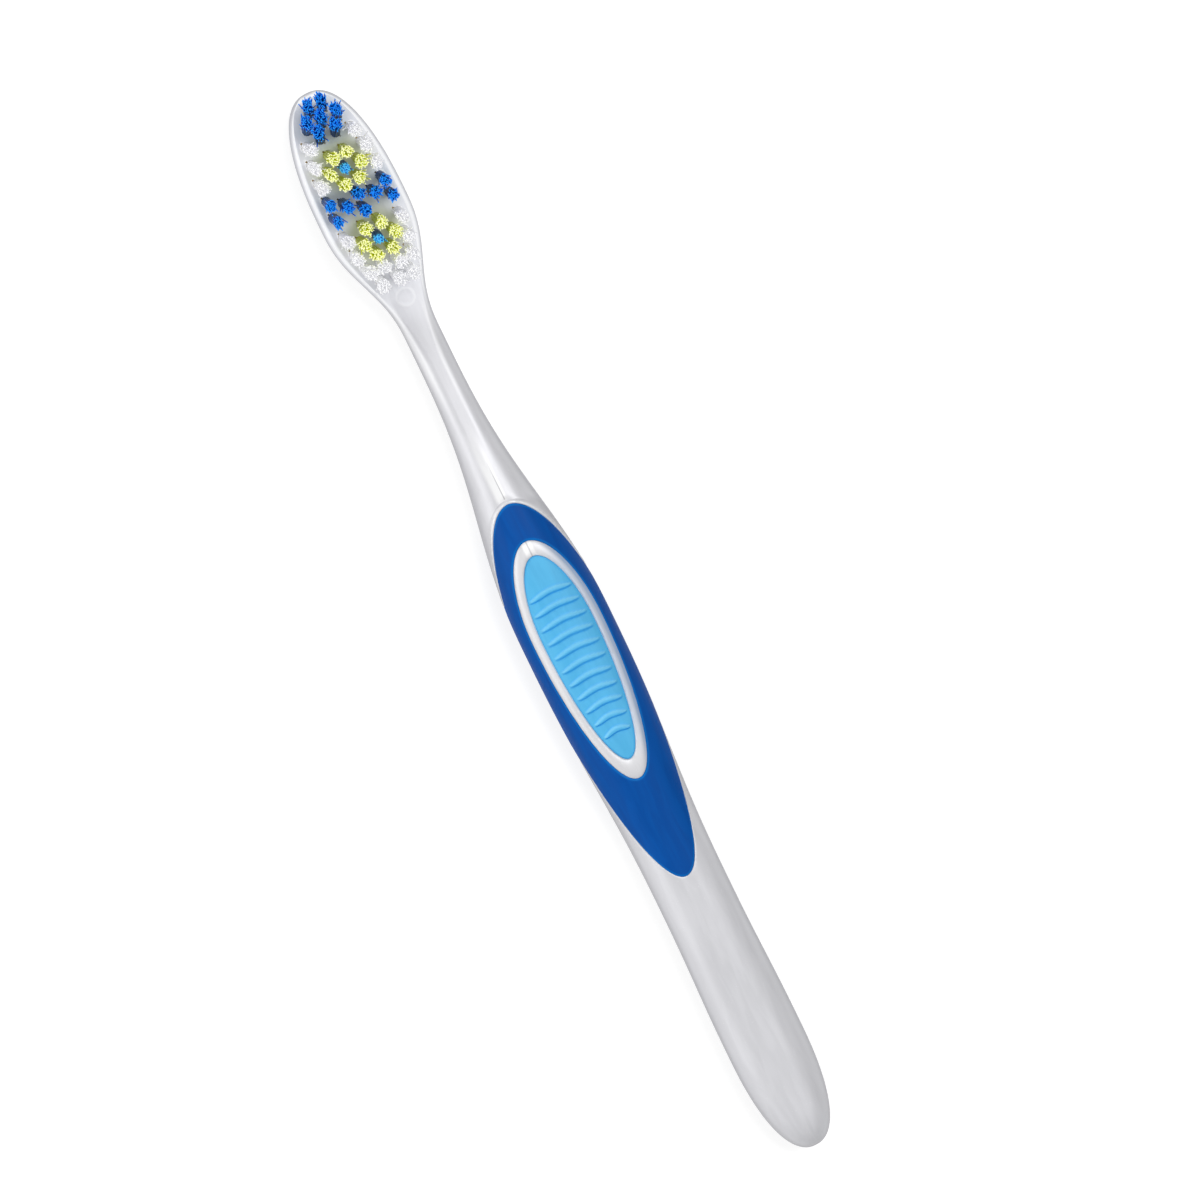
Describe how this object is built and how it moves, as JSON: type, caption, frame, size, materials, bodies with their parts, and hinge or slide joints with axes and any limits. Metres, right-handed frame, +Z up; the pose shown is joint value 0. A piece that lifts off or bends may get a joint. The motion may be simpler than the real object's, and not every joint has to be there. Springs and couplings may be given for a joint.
{
  "type": "toothbrush",
  "caption": "Manual toothbrush: oval head with upright and angled tufts in cups, slim neck, and a contoured handle with a two-colour soft grip and ribbed thumb pad.",
  "frame": {"origin": "middle of the brush's length and width, on the surface that it lies on with its bristles up", "axes": "+X along the handle towards the toe of the head, +Z up out of the head along the straight bristles, +Y to the left seen from above with the toe ahead"},
  "size_m": [0.1901, 0.0154, 0.0187],
  "materials": {
    "handle_pearl": "pearl gloss",
    "grip_dark_blue": "satin",
    "pad_light_blue": "satin",
    "filament_royal_blue": "satin",
    "filament_sky_blue": "satin",
    "filament_lime": "satin",
    "filament_white": "satin",
    "anchor_wire": "bright"
  },
  "bodies": {
    "root": {"handle_body": "handle_pearl", "grip_sleeve": "grip_dark_blue", "thumb_pad": "pad_light_blue", "toe_tufts": "filament_royal_blue", "front_cup_tufts": "filament_lime", "front_core_tuft": "filament_sky_blue", "centre_band_tufts": "filament_royal_blue", "left_band_tufts": "filament_royal_blue", "right_band_tufts": "filament_royal_blue", "rear_cup_tufts": "filament_lime", "rear_core_tuft": "filament_sky_blue", "left_side_tufts": "filament_white", "right_side_tufts": "filament_white", "heel_tufts": "filament_white", "toe_anchors": "anchor_wire", "front_cup_anchors": "anchor_wire", "front_core_anchor": "anchor_wire", "centre_band_anchors": "anchor_wire", "left_band_anchors": "anchor_wire", "right_band_anchors": "anchor_wire", "rear_cup_anchors": "anchor_wire", "rear_core_anchor": "anchor_wire", "left_side_anchors": "anchor_wire", "right_side_anchors": "anchor_wire", "heel_anchors": "anchor_wire"}
  },
  "joints": []
}
